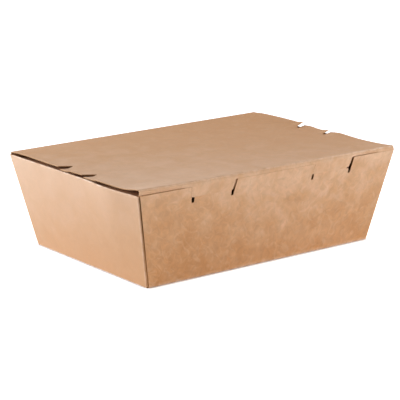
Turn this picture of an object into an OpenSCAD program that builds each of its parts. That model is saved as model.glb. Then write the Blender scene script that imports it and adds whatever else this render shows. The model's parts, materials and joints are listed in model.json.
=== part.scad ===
// Takeaway box folded from one sheet of brown kraft board.
// A flared tray with glued corner tabs and two side dust flaps that lie under the lid,
// and a lid that is creased to the back wall and tucks in along the front.
// The front stands at -Y and the lid's crease at +Y. The origin is the centre of the base's underside.

/* [Tray] */
// Outer length of the rim, left to right
rim_l = 200; // [160:1:260]
// Outer depth of the rim, front to back
rim_w = 139; // [120:1:180]
// Outer length of the base
base_l = 174; // [140:1:184]
// Outer depth of the base
base_w = 118.5; // [95:0.5:126]
// Height of the rim above the table
rim_h = 59; // [45:1:80]
// Thickness of the board
board = 0.5; // [0.4:0.05:0.7]

/* [Corner tabs] */
// How far each glued tab reaches along the front or back wall
tab_reach = 17; // [10:0.5:24]
// How far a tab's top stays below the rim at the corner
tab_drop = 3; // [2:0.5:6]
// How much further down the slanted top of a tab ends
tab_slope = 9; // [4:0.5:14]
// How far a tab's bottom stays above the base
tab_foot = 0.8; // [0.4:0.1:4]
// Bare seam between a side wall's fold and the cut end of the front or back wall
corner_seam = 1.4; // [0.4:0.1:2]

/* [Dust flaps] */
// How far each side's dust flap reaches in under the lid
dust_reach = 40; // [25:1:48]
// How far a dust flap's ends stay inside the rim's outer corners
dust_gap = 2.4; // [2.2:0.1:5]
// Slant of a dust flap's two ends, in degrees
dust_slant = 12; // [4:1:30]
// How far a dust flap droops, in degrees
dust_sag = 3; // [1:0.5:8]

/* [Front locks] */
// How far both locks sit to the right of the wall's middle
lock_shift = 0.5; // [-2:0.1:2]
// Distance between the two locks
lock_pitch = 93.2; // [84:0.2:104]
// Width of the tongue between a lock's two slots
tongue_w = 28.6; // [20:0.2:34]
// Width of a slot
slot_w = 1.2; // [0.8:0.1:2]
// Depth of a slot below the rim
slot_depth = 10; // [8:0.1:12]
// How far a slot leans over its depth, with its lower end to the left
slot_lean = 2.4; // [1:0.1:8]
// Height of the lid's lock tabs below the rim
catch_drop = 6.5; // [4:0.1:7]
// Play beside and behind a lock tab
catch_play = 0.3; // [0.2:0.05:0.5]

/* [Lid] */
// Height of the lid's back crease above the rim
crease_rise = 1.6; // [0.9:0.1:2]
// Height of the lid's front fold above the rim
fold_rise = 2.9; // [2:0.1:4]
// How far the lid's side edges lie inside the rim's outer edge
lid_inset = 1.3; // [1:0.1:3]
// How far the front flap tucks in below the rim
tuck_drop = 6.4; // [4:0.1:9]
// Length of the slant at each end of the front flap
tuck_slant = 9; // [6:0.5:14]
// Play between the front flap and the wall in front of it
tuck_play = 0.35; // [0.25:0.05:0.6]
// How far the lid opens from shut, in degrees
lid_open = 200; // [170:5:205]
// Play at the crease beyond what the thickness of the board takes
crease_play = 0.2; // [0.15:0.05:0.4]

/* [Lid slits] */
// Depth of a side slit in from the lid's edge
slit_depth = 8.4; // [6:0.1:14]
// Width of a side slit at its mouth
slit_mouth = 1.6; // [1:0.1:2.5]
// Width of a side slit at its tip
slit_tip = 0.7; // [0.5:0.1:0.9]
// How far a slit leans to the front over its depth
slit_lean = 6.2; // [3:0.1:8]
// Distance from the lid's front fold to the mouth of each side's front slit
slit_front = 61.2; // [45:0.1:66]
// Distance from the lid's front fold to the mouth of each side's back slit
slit_back = 86.9; // [74:0.1:100]

/* [Hidden] */
tray_colour = "#d9a982";
lid_colour = "#cba384";
fold_fn = 32;
// Straight steps in the section of the lid's front fold
fold_steps = 6;
// How far a cutting outline runs past the edge that it cuts
past = 1;

// Lean of the walls from upright: front and back, then left and right
lean_w = atan((rim_w - base_w) / 2 / rim_h);
lean_l = atan((rim_l - base_l) / 2 / rim_h);
// Lengths of the walls measured up their slopes
slope_w = rim_h / cos(lean_w);
slope_l = rim_h / cos(lean_l);
// How much a wall's outer length grows for each millimetre up its slope, at one end
flare_w = (rim_l - base_l) / 2 / slope_w;
flare_l = (rim_w - base_w) / 2 / slope_l;
// The side walls end at the back of the front and back walls, where their tabs fold
fold_in = board / cos(lean_w);
// Centre of the rounded fold at a side's rim, one thickness in from the wall's outer face and from the top
rim_fold_x = base_l / 2 + (rim_h - board) * tan(lean_l) - board / cos(lean_l);

// Hinge line: the middle of the board where the back wall's crease is
hinge_z = rim_h + crease_rise - board / 2;
hinge_slope = (hinge_z - board / 2 * sin(lean_w)) / cos(lean_w);
hinge_y = base_w / 2 + hinge_slope * sin(lean_w) - board / 2 * cos(lean_w);

// Front fold of the lid, in the plane of the tucked flap's outer face
tuck_off = board + tuck_play;
fold_up = (fold_rise - tuck_off * sin(lean_w)) / cos(lean_w);
fold_y = -rim_w / 2 - fold_up * sin(lean_w) + tuck_off * cos(lean_w);
fold_z = rim_h + fold_rise;
lid_l = rim_l - 2 * lid_inset;
lid_run = hinge_y - fold_y;
lid_climb = fold_z - board / 2 - hinge_z;
lid_tilt = atan(lid_climb / lid_run);
lid_w = norm([lid_run, lid_climb]);

// The tightest angle between the lid and the back wall, shut or open, sets how far both stop short of the hinge line
angle_shut = 90 - lean_w + lid_tilt;
angle_open = 270 + lean_w - lid_open - lid_tilt;
crease_cut = board / 2 / tan(min(angle_shut, angle_open) / 2) + crease_play;

// The wall's tongue leans in just enough for the lock tab to drop in front of it
tongue_lean = atan((board + catch_play) / (slot_depth - catch_drop));
slot_rate = slot_lean / slot_depth;
half_lock = (tongue_w + slot_w) / 2;

// Middle of a lock at the lower ends of its slots
function lock_x(side) = lock_shift + side * lock_pitch / 2;
// Centre line of a lock's left (-1) or right (1) slot, at a depth below the rim
function slot_x(lock, edge, depth) = lock_x(lock) + edge * half_lock + slot_rate * (slot_depth - depth);

// A sheet of board from an outline, with its outer face at z = -off
module sheet(off = 0) {
    translate([0, 0, -off - board]) linear_extrude(board) children();
}

// Stands a sheet up as the front wall: its y runs up the slope from the base, and its outer face looks forwards
module at_front() {
    translate([0, -base_w / 2, 0]) rotate([90 + lean_w, 0, 0]) children();
}

module at_back() {
    rotate([0, 0, 180]) at_front() children();
}

module at_side(side) {
    rotate([0, 0, side * 90])
        translate([0, -base_l / 2, 0]) rotate([90 + lean_l, 0, 0]) children();
}

module wall_outline(bottom, flare, height) {
    polygon([
        [-bottom / 2, 0],
        [bottom / 2, 0],
        [bottom / 2 + flare * height, height],
        [-bottom / 2 - flare * height, height]
    ]);
}

// What one lock's two slots and the tongue between them take out of the front wall
module lock_notch(lock) {
    polygon([
        [slot_x(lock, -1, slot_depth) - slot_w / 2, slope_w - slot_depth],
        [slot_x(lock, 1, slot_depth) + slot_w / 2, slope_w - slot_depth],
        [slot_x(lock, 1, -past) + slot_w / 2, slope_w + past],
        [slot_x(lock, -1, -past) - slot_w / 2, slope_w + past]
    ]);
}

// The wall's tongue of one lock, bent in from the line between the slots' lower ends
module lock_tongue(lock) {
    root = slope_w - slot_depth;
    translate([0, root, 0])
        rotate([-tongue_lean, 0, 0])
            sheet()
                polygon([
                    [slot_x(lock, -1, slot_depth) + slot_w / 2, 0],
                    [slot_x(lock, 1, slot_depth) - slot_w / 2, 0],
                    [slot_x(lock, 1, 0) - slot_w / 2, slot_depth],
                    [slot_x(lock, -1, 0) + slot_w / 2, slot_depth]
                ]);
}

// The two tabs of the side walls that are glued behind a front or back wall
module corner_tabs() {
    top_out = slope_w - tab_drop;
    top_in = top_out - tab_slope;
    for (side = [-1, 1])
        sheet(board)
            polygon([
                [side * (base_l / 2 + flare_w * tab_foot), tab_foot],
                [side * (base_l / 2 - tab_reach), tab_foot],
                [side * (base_l / 2 + flare_w * top_in - tab_reach), top_in],
                [side * (base_l / 2 + flare_w * top_out), top_out]
            ]);
}

module front_wall() {
    at_front() {
        sheet()
            difference() {
                wall_outline(base_l - 2 * corner_seam, flare_w, slope_w);
                for (lock = [-1, 1]) lock_notch(lock);
            }
        for (lock = [-1, 1]) lock_tongue(lock);
        corner_tabs();
    }
}

module back_wall() {
    at_back() {
        sheet() wall_outline(base_l - 2 * corner_seam, flare_w, hinge_slope - crease_cut);
        corner_tabs();
    }
}

// A side wall, its fold at the rim and the dust flap that it carries
module side_wall(side) {
    inner = rim_w / 2 - dust_gap;
    tip = inner - dust_reach * tan(dust_slant);
    at_side(side) sheet() wall_outline(base_w - 2 * fold_in, flare_l, slope_l - board);
    translate([side * rim_fold_x, 0, rim_h - board]) {
        rotate([90, 0, 0]) cylinder(h = rim_w - 2 * fold_in, r = board, center = true, $fn = fold_fn);
        rotate([0, side * dust_sag, 180])
            translate([0, 0, board])
                sheet()
                    polygon([[0, -inner], [side * dust_reach, -tip], [side * dust_reach, tip], [0, inner]]);
    }
}

module tray() color(tray_colour) {
    translate([-base_l / 2, -base_w / 2, 0]) cube([base_l, base_w, board]);
    front_wall();
    back_wall();
    for (side = [-1, 1]) side_wall(side);
}

// The lid's section from the hinge line to the flap's lower edge: panel, rounded fold and flap in one
function lid_point(along, up) = [
    hinge_y - along * cos(lid_tilt) + up * sin(lid_tilt),
    hinge_z + along * sin(lid_tilt) + up * cos(lid_tilt)
];
function front_point(up, off) = [
    -rim_w / 2 - up * sin(lean_w) + off * cos(lean_w),
    rim_h + up * cos(lean_w) + off * sin(lean_w)
];
fold_centre = [fold_y, fold_z]
    - board / (1 - sin(lid_tilt + lean_w)) * [sin(lid_tilt) - cos(lean_w), cos(lid_tilt) - sin(lean_w)];

module lid_section() {
    from = 90 - lid_tilt;
    to = 180 + lean_w;
    polygon(concat(
        [lid_point(crease_cut, -board / 2), lid_point(crease_cut, board / 2)],
        [
            for (i = [0:fold_steps])
                let (angle = from + (to - from) * i / fold_steps)
                fold_centre + board * [cos(angle), sin(angle)]
        ],
        [front_point(-tuck_drop, tuck_off), front_point(-tuck_drop, tuck_off + board), fold_centre]
    ));
}

// One side slit of the lid, its mouth at a distance from the front fold, in the plane of the panel.
// Its two edges run on past the lid's edge in a straight line.
module side_slit(side, mouth) {
    edge = side * lid_l / 2;
    tip = lid_w - mouth + slit_lean;
    front_rate = (slit_mouth / 2 - slit_lean - slit_tip / 2) / slit_depth;
    back_rate = (slit_tip / 2 - slit_lean - slit_mouth / 2) / slit_depth;
    run = slit_depth + past;
    polygon([
        [edge - side * slit_depth, tip + slit_tip / 2],
        [edge - side * slit_depth, tip - slit_tip / 2],
        [edge + side * past, tip - slit_tip / 2 + back_rate * run],
        [edge + side * past, tip + slit_tip / 2 + front_rate * run]
    ]);
}

// What the side slits take out of the lid's panel: y runs forwards from the hinge line
module side_slits() {
    translate([0, hinge_y, hinge_z])
        rotate([0, 0, 180])
            rotate([lid_tilt, 0, 0])
                translate([0, 0, -board])
                    linear_extrude(2 * board)
                        for (side = [-1, 1], mouth = [slit_front, slit_back]) side_slit(side, mouth);
}

// What is cut off the front flap: a slant at each end, and an opening for each lock
module flap_cuts() {
    low = slope_w - tuck_drop;
    strip = slope_w + fold_up / 3;
    translate([0, 0, -tuck_off - 2 * board])
        linear_extrude(3 * board) {
            for (side = [-1, 1])
                polygon([
                    [side * (lid_l / 2 + past), slope_w + past * tuck_drop / tuck_slant],
                    [side * (lid_l / 2 + past), low - past],
                    [side * (lid_l / 2 - tuck_slant), low - past],
                    [side * (lid_l / 2 - tuck_slant), low]
                ]);
            for (lock = [-1, 1]) {
                from = slot_x(lock, -1, catch_drop) - slot_w / 2;
                to = slot_x(lock, 1, 0) + slot_w / 2;
                translate([from, low - past]) square([to - from, strip - low + past]);
            }
        }
}

// A lock tab: it leaves the fold and drops flush into the wall's notch, in front of the wall's tongue
module lock_tab(lock) {
    left = slot_x(lock, -1, 0) - slot_w / 2 + catch_play;
    low = slope_w - catch_drop;
    knee = slope_w + fold_up / 6;
    top = slope_w + fold_up - 1.5 * board;
    intersection() {
        translate([left, 0, 0])
            rotate([90, 0, 90])
                linear_extrude(2 * tongue_w)
                    polygon([
                        [low, 0],
                        [knee, 0],
                        [top, -tuck_off - board / 4],
                        [top, -tuck_off - board * 3 / 4],
                        [knee, -board],
                        [low, -board]
                    ]);
        translate([0, 0, -tuck_off - 2 * board])
            linear_extrude(tuck_off + 3 * board)
                polygon([
                    [left, low],
                    [slot_x(lock, 1, catch_drop) - slot_w / 2, low],
                    [slot_x(lock, 1, -fold_up) - slot_w / 2, slope_w + fold_up],
                    [left, slope_w + fold_up]
                ]);
    }
}

module lid() color(lid_colour) {
    difference() {
        translate([-lid_l / 2, 0, 0]) rotate([90, 0, 90]) linear_extrude(lid_l) lid_section();
        side_slits();
        at_front() flap_cuts();
    }
    at_front() for (lock = [-1, 1]) lock_tab(lock);
}

tray();
lid();
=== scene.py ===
import json
import math

import bmesh
import bpy
import numpy as np
from bpy.props import FloatProperty, FloatVectorProperty, PointerProperty
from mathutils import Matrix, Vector


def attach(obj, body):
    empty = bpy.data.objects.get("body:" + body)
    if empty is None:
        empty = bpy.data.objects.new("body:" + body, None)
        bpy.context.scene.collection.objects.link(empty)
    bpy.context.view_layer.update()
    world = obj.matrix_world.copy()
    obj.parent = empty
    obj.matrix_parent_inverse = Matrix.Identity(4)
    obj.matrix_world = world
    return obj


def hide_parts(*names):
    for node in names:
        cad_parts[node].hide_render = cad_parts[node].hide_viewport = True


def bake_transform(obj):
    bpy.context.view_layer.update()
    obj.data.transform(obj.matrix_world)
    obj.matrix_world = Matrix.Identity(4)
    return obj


bl_info = {
    "name": "Kraft takeaway box",
    "version": (1, 0, 0),
    "blender": (4, 5, 0),
    "location": "3D View > Sidebar > Box",
    "description": "Folds the sheets of a kraft board takeaway box round its frame and finishes the board",
    "category": "Object",
}

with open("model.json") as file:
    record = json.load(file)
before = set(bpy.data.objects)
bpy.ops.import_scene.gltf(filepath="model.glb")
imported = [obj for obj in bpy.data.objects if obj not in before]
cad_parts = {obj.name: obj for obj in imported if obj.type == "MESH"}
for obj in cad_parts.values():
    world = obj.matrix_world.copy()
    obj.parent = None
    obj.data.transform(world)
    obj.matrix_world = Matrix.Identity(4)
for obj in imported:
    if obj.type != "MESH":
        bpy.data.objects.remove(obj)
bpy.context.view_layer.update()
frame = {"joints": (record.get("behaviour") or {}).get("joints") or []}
MM = 0.001
HINGE = np.array(frame["joints"][0]["pos_m"])

# Grids and tolerances: points nearer than MERGE become one, and places nearer than SAME are one place
MERGE = 0.008 * MM
SAME = 0.001 * MM
ARC_STEPS = 5
CUT_ANGLE = math.radians(38)

# Small plays: how far a corner's fold stays behind the front wall's outer face, and over what length
# its tab then drops into the groove; how far a lock tab stands off the wall, and its left edge off the
# slot; how far a tongue stays below its tab; how far the side folds end inside the flat base; and how
# far the strips beside a dust flap end below the rim
CORNER_SET = 0.12 * MM
GROOVE_RUN = 0.45 * MM
TAB_STAND = 0.05 * MM
TAB_PLAY = 0.12 * MM
TONGUE_PLAY = 0.06 * MM
FLAT_PLAY = 0.03 * MM
CROWN_PLAY = 0.05 * MM

# Length of a wall's end that fits itself to the corner, and of a paler band beside the lid's side edges
END_RUN = 4 * MM
EDGE_BAND = 0.8 * MM

# Locks: the power of the height by which a tongue bends in, how far above a tab's lower edge the nick
# starts, how far the right tab reaches over its right slot, and the windows beside the tabs
TONGUE_BEND = 1.35
NICK_LIFT = 0.1 * MM
RIGHT_COVER = -0.4 * MM
LEFT_WINDOW = 0.3 * MM
RIGHT_WINDOW = 1.9 * MM

# Front of the lid: the fold's radius, how much of the panel's slope runs on into it, the depth where
# flap and lock tabs part, just above the rim, and the rows down to it, how far the fold that bulges
# out stays inside the wall's outer face, and the drop in which the flap leaves the wall
LID_FOLD = 0.7 * MM
FOLD_SLOPE = 0.6
BRINK = -0.1 * MM
BRINK_ROWS = 5
BULGE_OFF = -0.04 * MM
SINK_RUN = 2.5 * MM

# Panel of the lid: between these distances behind the front fold its rows lean with the slits, over
# this one its right front corner reaches out, and over this one before the crease it settles
SLIT_ZONE = (18 * MM, 128 * MM)
REACH_RUN = 60 * MM
SETTLE_RUN = 7 * MM

# Crease: its radius, the lid's slope beside it, how far it stands above the hinge line where the panel
# meets it, and the share of its half width out to the two points that make_crease gives back
CREASE_FOLD = 0.45 * MM
CREASE_SLOPE = 0.012
CREASE_LIFT = 0.014 * MM
BEND_SHARE = 0.8

# Flat map: where the sheet's parts lie in it, in metres, and in radii the length of a rim's fold and of
# each row of a base's fold
FLAT_PLACE = {"base": (0, -0.2), "back": (0.3, 0.7), "side": (0.2, 1.2), "lid": (0, 2.0), "crease": (0, 2.14)}
ARC_RUN = 1.4
ARC_ROW = 0.25

# Board: how strong its clouds are on each part of the sheet, and the length and shift of the broad
# paler and deeper stretches along the front wall
MOTTLE = {"wall": 1.0, "side": 0.25, "fold": 0.35, "base": 0.6, "panel": 0.4, "flap": 0.8, "crease": 0.5}
WAVE_LENGTH = 160 * MM
WAVE_SHIFT = 72 * MM

# Forms in the board: size in mm, detail, roughness and distortion. Its fibres are some 0.03 mm thick
# and too fine to show, so flecks, grain and curls are drawn as coarse as the render needs them
FORMS = {
    "clouds": (14, 1.0, 0.5, 0.4),
    "flecks": (4, 2.0, 0.7, 0.6),
    "grain": (0.5, 2.0, 0.7, 0.0),
    "curls": (9, 1.5, 0.6, 2.0),
    "patches": (5, 2.0, 0.5, 0.0),
}

# Heights in mm, each at a distance in mm behind the front fold: the lid's middle line, its tilt to the
# right, and its left and right edges above the rim
MIDDLE_LINE = [(-2, 0), (0, 0), (10, -0.15), (30, -0.4), (70, -0.35), (110, -0.5), (139, -1.0)]
TILT = [(-2, 0.25), (0, 0.25), (30, 0.4), (60, 0.6), (90, 0.6), (115, 0.1), (139, -0.5)]
LEFT_EDGE = [(-2, 3.7), (0, 3.7), (4, 3.3), (8, 2.6), (12, 1.95), (19, 1.4), (29, 1.2), (40, 1.2), (50, 1.5),
             (56, 1.6), (62, 1.5), (72, 1.9), (80, 2.0), (88, 1.9), (100, 2.0), (116, 2.1), (139, 1.8)]
RIGHT_EDGE = [(-2, 2.7), (0, 2.7), (6, 2.2), (16, 1.75), (30, 1.65), (44, 2.5), (53, 2.5), (60, 1.7),
              (66, 1.9), (73, 2.9), (79.5, 3.7), (84, 3.1), (90, 3.2), (105, 3.3), (125, 3.1), (139, 2.6)]
LEAST_HEIGHT = 0.56 * MM

# Point that the lamps and the camera face
AIM = Vector((0, 0, 30 * MM))

# Lamps: place and width in metres, and tint
LAMPS = {
    "left": ((-0.9, 0.9, 0.6), 0.8, (0.88, 0.98, 1.12)),
    "front": ((1.1, -0.8, 0.3), 0.6, (1.01, 1.01, 1.0)),
    "right": ((1.2, 0.3, 0.5), 0.8, (1.04, 0.97, 0.98)),
    "fill": ((-0.8, -1.03, 0.45), 0.6, (1.12, 0.97, 0.8)),
}

# Width of the photo, and how far its middle lies from the box's, in pixels
PHOTO_PX = 400
SHIFT_PX = (-3.01, -3.82)


# Sizes, colours and stage settings in the sidebar


def linear(hex_colour):
    """Linear RGBA of an sRGB hex colour."""
    parts = [int(hex_colour[i:i + 2], 16) / 255 for i in (1, 3, 5)]
    return tuple(c / 12.92 if c <= 0.04045 else ((c + 0.055) / 1.055) ** 2.4 for c in parts) + (1.0,)


def length(name, description, value_mm):
    """A size in the sidebar, given here in millimetres and kept in metres."""
    return FloatProperty(name=name, description=description, default=value_mm * MM,
                         subtype="DISTANCE", unit="LENGTH", precision=4)


def angle(name, description, degrees):
    """An angle in the sidebar, given here in degrees."""
    return FloatProperty(name=name, description=description, default=math.radians(degrees),
                         subtype="ANGLE", unit="ROTATION")


def power(name, description, watts):
    """A lamp's power in the sidebar."""
    return FloatProperty(name=name, description=description, default=watts, subtype="POWER")


def colour(name, description, hex_colour):
    """A colour in the sidebar."""
    return FloatVectorProperty(name=name, description=description, default=linear(hex_colour),
                               subtype="COLOR", size=4, min=0, max=1)


class BoxSizes(bpy.types.PropertyGroup):
    """Sizes of the folded sheet."""
    rim_l: length("Rim length", "Outer length of the rim, left to right", 200)
    rim_w: length("Rim depth", "Outer depth of the rim, front to back", 139)
    base_l: length("Base length", "Outer length of the base", 174)
    base_w: length("Base depth", "Outer depth of the base", 118.5)
    rim_h: length("Rim height", "Height of the rim above the table", 59)
    board: length("Board", "Thickness of the board", 0.5)
    fold_r: length("Fold radius", "Outer radius of a creased fold", 0.8)
    rim_fold: length("Rim fold radius", "Outer radius of the fold from a side wall to its dust flap", 0.55)
    fold_rise: length("Rim fold rise", "How far that fold's sharp corner would lie above the rim", 0.4)
    bow: length("Bow", "How far the middle of a wall bows out", 0.5)
    belly: length("Belly", "How far a side wall's rim bellies out behind the front corner", 1.8)
    belly_run: length("Belly run", "Length of that stretch of the rim", 58)
    corner_r: length("Corner radius", "Outer radius of an upright corner fold", 0.65)
    seam: length("Corner seam", "From a side wall's outer face to the front wall's cut end", 1.4)
    close: length("Close seam", "The same at the right end, where the wall lies tighter", 0.7)
    groove: length("Groove", "How deep a corner's tab lies below the wall's outer face at the rim", 1.5)
    groove_foot: length("Groove foot", "The same at the base, where the wall is glued down tight", 0.58)
    tab_reach: length("Tab reach", "How far a glued corner tab reaches along the wall in front of it", 17)
    tab_drop: length("Tab drop", "How far a tab's top stays below the rim at the corner", 2)
    tab_slope: length("Tab slope", "How much further down the slanted top of a tab ends", 9)
    tab_foot: length("Tab foot", "How far a tab's bottom stays above the base", 0.9)
    dust_reach: length("Dust flap reach", "How far a dust flap reaches in under the lid", 40)
    dust_gap: length("Dust flap gap", "How far a dust flap's ends stay inside the rim's corners", 2.4)
    dust_slant: angle("Dust flap slant", "Slant of a dust flap's ends", 12)
    dust_sag: angle("Dust flap sag", "How far a dust flap droops", 3)
    dust_dip: angle("Dust flap dip", "How much steeper it leaves its fold", 27)
    dip_run: length("Dip run", "How far in from the fold that dip ends", 8)


class LockSizes(bpy.types.PropertyGroup):
    """Sizes of the two front locks and the lid's side slits."""
    shift: length("Lock shift", "How far both locks sit to the right of the wall's middle", 0.7)
    pitch: length("Lock pitch", "Distance between the two front locks", 93.2)
    tongue_w: length("Tongue width", "Width of the tongue between a lock's slots", 28.1)
    slot_w: length("Slot width", "Width of a slot", 1.7)
    inset: length("Left slot inset", "How far each lock's left slot sits towards the wall's middle", 0.7)
    stand: length("Left slot stand", "How far right of its top the leftmost slot's lower end lies", 1.0)
    cover: length("Cover", "How far the left lock tab reaches over its right slot", 0.25)
    nick_w: length("Nick width", "Length of the nick that catches the right lock tab's corner", 1.6)
    nick_h: length("Nick height", "Height of that nick", 0.8)
    slot_depth: length("Slot depth", "Depth of a slot below the rim", 10.0)
    slot_lean: length("Slot lean", "How far a slot's lower end lies to the left of its top", 2.4)
    catch_drop: length("Lock tab drop", "Height of a lock tab below the rim", 6.5)
    tab_round: length("Lock tab corner", "Radius of a lock tab's lower right corner", 2.6)
    gape: length("Gape", "How much wider the left lock's left slot is at the lock tab's lower edge", 1.0)
    slit_depth: length("Slit depth", "Depth of a side slit in from the lid's left edge", 6.6)
    slit_right: length("Right slit depth", "The same at the lid's right edge", 9.8)
    slit_mouth: length("Slit mouth", "Width of a side slit at the lid's edge", 2.0)
    slit_tip: length("Slit tip", "Width of a side slit at its tip", 1.2)
    slit_lean: length("Slit lean", "How far a left slit's tip lies in front of its mouth", 5.1)
    lean_right: length("Right slit lean", "The same at the lid's right edge", 4.5)
    tip_right: length("Right tip shift", "How much further back the right slits' tips lie", 2.6)
    slit_front: length("Front slit", "Distance from the front fold to the left front slit's mouth", 57.4)
    slit_back: length("Back slit", "Distance from the front fold to the left back slit's mouth", 83.1)


class LidSizes(bpy.types.PropertyGroup):
    """Sizes of the lid."""
    inset: length("Lid inset", "How far the lid's side edges lie inside the rim's outer edge", 1.3)
    reach_right: length("Right reach", "How much further out the lid lies at its right front corner", 0.7)
    crease_rise: length("Crease rise", "Height of the back crease above the rim", 1.6)
    rise_left: length("Front rise, left", "Height of the front fold above the rim at its left end", 3.2)
    rise_right: length("Front rise, right", "Height of the front fold above the rim at its right end", 2.7)
    tuck_slant: length("Flap slant", "Length of the slant at each end of the front flap", 9)
    tuck_play: length("Flap play", "Play between the front flap and the wall", 0.35)
    gap: length("Flap gap", "Further play where the wall stands off the flap beside the locks", 0.5)
    crease_half: length("Crease strip", "Half the width of the strip that bends at the hinge", 1.2)


class BoardColours(bpy.types.PropertyGroup):
    """Colours of the board."""
    body: colour("Board", "Kraft board, mean colour", "#d1a178")
    # The pale and dark ends also carry the painted shading: painted light towards pale, painted shade towards
    # dark
    pale: colour("Pale fibre", "Bleached fibres and clouds", "#e9c4a5")
    dark: colour("Dark fibre", "Dark fibres and clouds", "#c48c5a")
    # The fold tint also paints the highlight along the lid's front fold and flap towards the right
    fold_and_highlight: colour("Fold", "Fibres that a fold has stretched", "#efcdb0")
    cut: colour("Cut edge", "Cut edge, where the coarse brown core shows", "#b98c62")


class StageSettings(bpy.types.PropertyGroup):
    """Camera and lamps."""
    distance: length("Camera distance", "From the camera to the middle of the box", 1050)
    azimuth: angle("Azimuth", "Camera's angle round the box", -37.75)
    elevation: angle("Elevation", "Camera's angle above the table", 14.29)
    lens: FloatProperty(name="Lens", description="Focal length on a 36 mm sensor", default=148.71)
    left: power("Left lamp", "Power of the lamp behind on the left", 27.2)
    front: power("Front lamp", "Power of the low lamp in front on the right", 17.6)
    right: power("Right lamp", "Power of the lamp on the right", 4.9)
    fill: power("Fill lamp", "Power of the lamp beside the camera", 2.4)
    ambient: FloatProperty(name="Ambient", description="Strength of the light from all round", default=0.01)


# Curves, grids and meshes


def smooth(t):
    """Smoothstep: 3 t^2 - 2 t^3 with t held to 0..1."""
    t = np.clip(t, 0, 1)
    return t * t * (3 - 2 * t)


def between(x, low, high):
    """Where x lies from low to high, both included."""
    return (x > low - SAME) & (x < high + SAME)


def grid(*parts):
    """Points from arrays of their coordinates, spread over one another."""
    return np.stack(np.broadcast_arrays(*parts), axis=-1)


def middles(x):
    """The middles between neighbours."""
    return (x[1:] + x[:-1]) / 2


def run_along(points):
    """How far along a line of points each one lies."""
    return np.concatenate([[0], np.cumsum(np.linalg.norm(np.diff(points, axis=0), axis=1))])


def new_object(name, data):
    """An object in the scene."""
    obj = bpy.data.objects.new(name, data)
    bpy.context.scene.collection.objects.link(obj)
    return obj


def new_mesh(name, points, faces, uv, tones):
    """A mesh with its flat map, and the tones that the board's material reads at each point."""
    mesh = bpy.data.meshes.new(name)
    mesh.from_pydata(points.tolist(), [], faces)
    loop_vertex = np.zeros(len(mesh.loops), np.int32)
    mesh.loops.foreach_get("vertex_index", loop_vertex)
    flat = mesh.uv_layers.new(name="flat")
    flat.data.foreach_set("uv", uv[loop_vertex].astype(np.float32).ravel())
    for label, values in tones.items():
        attribute = mesh.attributes.new(label, "FLOAT", "POINT")
        attribute.data.foreach_set("value", values.astype(np.float32))
    return mesh


def shade(mesh):
    """Smooth shading that breaks at the cut edges."""
    mesh.shade_smooth()
    mesh.set_sharp_from_angle(angle=CUT_ANGLE)


def spans(*stops, step):
    """Numbers that hit every stop, with even steps of about the given size between them."""
    out = [np.array([stops[0]])]
    for a, b in zip(stops[:-1], stops[1:]):
        count = max(1, int(round(abs(b - a) / step)))
        out.append(np.linspace(a, b, count + 1)[1:])
    return np.concatenate(out)


def through(points, x):
    """Catmull-Rom curve through (place, height) points in rising order of place, read at x."""
    px, py = np.array(points, float).T
    slope = np.gradient(py, px)
    i = np.clip(np.searchsorted(px, x) - 1, 0, len(px) - 2)
    width = px[i + 1] - px[i]
    t = np.clip((x - px[i]) / width, 0, 1)
    a = (1 + 2 * t) * (1 - t) ** 2 * py[i] + t * (1 - t) ** 2 * width * slope[i]
    b = t * t * (3 - 2 * t) * py[i + 1] + t * t * (t - 1) * width * slope[i + 1]
    return a + b


def round_corner(corner, along_a, along_b, radius, steps):
    """Arc that rounds a corner in a plane, from its tangent point on side a to the one on side b.
    The centre lies on the bisector at radius / sin(half the angle); the arc turns evenly between the two."""
    a, b = (np.array(v, float) / np.linalg.norm(v) for v in (along_a, along_b))
    half = math.acos(float(np.clip(a @ b, -1, 1))) / 2
    centre = np.array(corner) + (a + b) / np.linalg.norm(a + b) * radius / math.sin(half)
    reach = radius / math.tan(half)
    v0, v1 = corner + a * reach - centre, corner + b * reach - centre
    turn = math.pi - 2 * half
    t = np.linspace(0, 1, steps + 1)[:, None]
    return centre + (np.sin((1 - t) * turn) * v0 + np.sin(t * turn) * v1) / math.sin(turn)


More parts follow.
